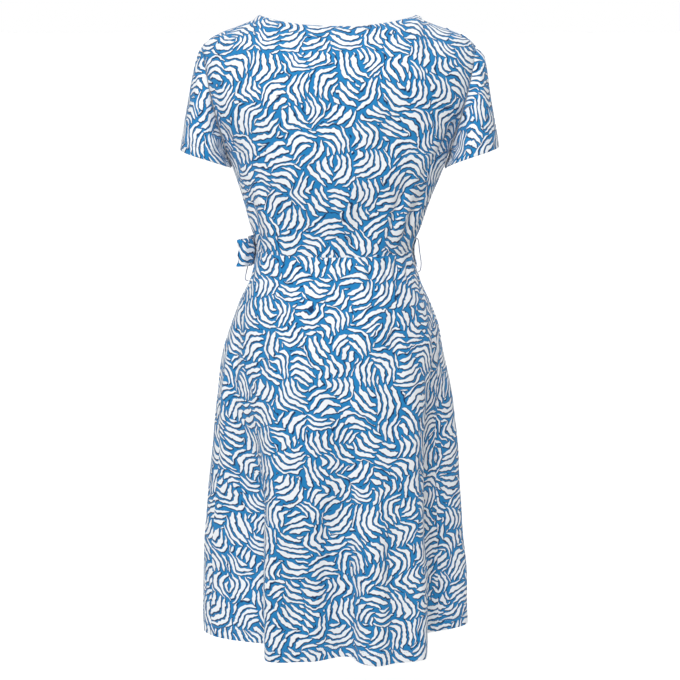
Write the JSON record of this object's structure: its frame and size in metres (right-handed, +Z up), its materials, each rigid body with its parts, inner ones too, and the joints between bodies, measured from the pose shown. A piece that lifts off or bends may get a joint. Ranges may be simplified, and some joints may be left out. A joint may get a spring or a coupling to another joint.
{
  "type": "wrap dress",
  "caption": "Knee-length wrap dress in its worn, hollow shape: crossed V-neck fronts, short set-in sleeves, A-line skirt, tie belt with a bow and thread carriers.",
  "frame": {"origin": "midway between the high points of the two shoulder seams, where the wearer's shoulders hold the dress up", "axes": "+Z up along the wearer's height, -Y towards the front of the dress, +X towards the wearer's left"},
  "size_m": [0.4775, 0.3136, 0.9709],
  "materials": {
    "printed_jersey": "soft matt jersey, printed blue with off-white brush strokes",
    "carrier_thread": "chain-stitched thread"
  },
  "bodies": {
    "root": {"bodice_back": "printed_jersey", "bodice_front_over": "printed_jersey", "bodice_front_under": "printed_jersey", "sleeve_left": "printed_jersey", "sleeve_right": "printed_jersey", "skirt_back": "printed_jersey", "skirt_front_over": "printed_jersey", "skirt_front_under": "printed_jersey", "belt_band": "printed_jersey", "belt_knot": "printed_jersey", "belt_loop_left": "printed_jersey", "belt_loop_right": "printed_jersey", "belt_tail_long": "printed_jersey", "belt_tail_short": "printed_jersey", "carrier_left": "carrier_thread", "carrier_right": "carrier_thread"}
  },
  "joints": []
}
